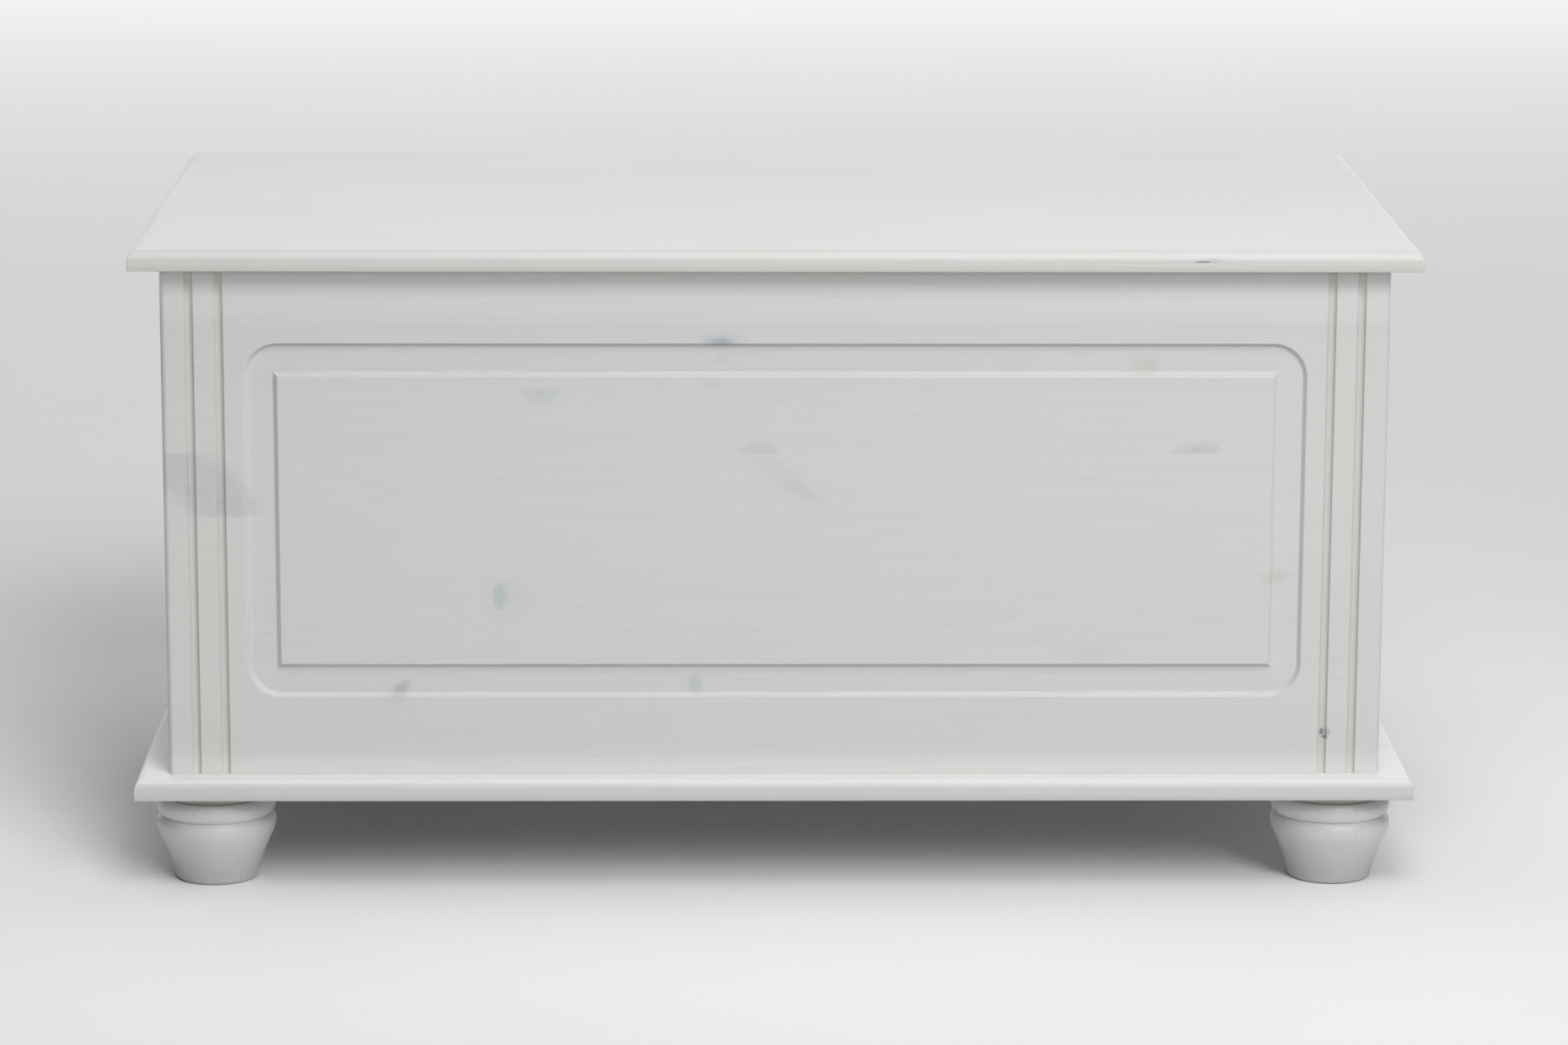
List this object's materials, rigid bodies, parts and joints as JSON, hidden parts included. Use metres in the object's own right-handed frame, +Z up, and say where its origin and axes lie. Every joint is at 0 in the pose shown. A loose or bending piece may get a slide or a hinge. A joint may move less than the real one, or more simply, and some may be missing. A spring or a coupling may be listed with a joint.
{
  "type": "blanket chest",
  "caption": "Low white-glazed pine blanket chest with a hinged overhanging lid, fluted and routed front, moulded base board, turned bun feet and slotted lid stays.",
  "frame": {"origin": "on the floor, under the middle of the base board's outline", "axes": "+X to the right as seen from the front, -Y out of the routed front, +Z up"},
  "size_m": [1.007, 0.55, 0.5133],
  "materials": {
    "white_glazed_pine": "thin white glaze on pine with the grain and knots showing through, silk matt",
    "glazed_battens": "thin white glaze on planed pine, silk matt",
    "beech": "plain turned beech",
    "zinc_steel": "bright zinc plate",
    "stay_steel": "nickel plated pressed steel"
  },
  "bodies": {
    "chest": {"base_board": "white_glazed_pine", "front_panel": "white_glazed_pine", "back_panel": "white_glazed_pine", "left_side_panel": "white_glazed_pine", "right_side_panel": "white_glazed_pine", "front_left_foot": "white_glazed_pine", "front_right_foot": "white_glazed_pine", "rear_left_foot": "white_glazed_pine", "rear_right_foot": "white_glazed_pine", "front_left_post": "glazed_battens", "front_right_post": "glazed_battens", "rear_left_post": "glazed_battens", "rear_right_post": "glazed_battens", "panel_dowels": "beech", "base_screws": "zinc_steel", "post_screws": "zinc_steel", "foot_hanger_bolts": "zinc_steel", "foot_thread_inserts": "zinc_steel", "left_hinge_body_leaf": "zinc_steel", "right_hinge_body_leaf": "zinc_steel", "left_hinge_pin": "zinc_steel", "right_hinge_pin": "zinc_steel", "hinge_body_screws": "zinc_steel", "left_stay_plate": "stay_steel", "right_stay_plate": "stay_steel", "left_stay_guide_pin": "zinc_steel", "right_stay_guide_pin": "zinc_steel", "stay_plate_screws": "zinc_steel"},
    "lid": {"lid_board": "white_glazed_pine", "left_lid_batten": "glazed_battens", "right_lid_batten": "glazed_battens", "batten_screws": "zinc_steel", "left_hinge_lid_leaf": "zinc_steel", "right_hinge_lid_leaf": "zinc_steel", "hinge_lid_screws": "zinc_steel", "left_stay_bracket": "stay_steel", "right_stay_bracket": "stay_steel", "left_stay_rivet": "zinc_steel", "right_stay_rivet": "zinc_steel", "stay_bracket_screws": "zinc_steel"},
    "left_stay": {"left_stay_arm": "stay_steel"},
    "right_stay": {"right_stay_arm": "stay_steel"}
  },
  "joints": [
    {"name": "lid_hinge", "type": "hinge", "parent": "chest", "child": "lid", "pos_m": [0, 0.2704, 0.49715], "axis": [-1, 0, 0], "range_deg": [0, 95]},
    {"name": "left_stay_pivot", "type": "hinge", "parent": "lid", "child": "left_stay", "pos_m": [-0.459, 0.1214, 0.48365], "axis": [-1, 0, 0], "range_deg": [-47.5, 0]},
    {"name": "right_stay_pivot", "type": "hinge", "parent": "lid", "child": "right_stay", "pos_m": [0.459, 0.1214, 0.48365], "axis": [-1, 0, 0], "range_deg": [-47.5, 0]}
  ],
  "couplings": [
    {"joint": "left_stay_pivot", "follows": "lid_hinge", "ratio": -0.5},
    {"joint": "right_stay_pivot", "follows": "lid_hinge", "ratio": -0.5}
  ]
}
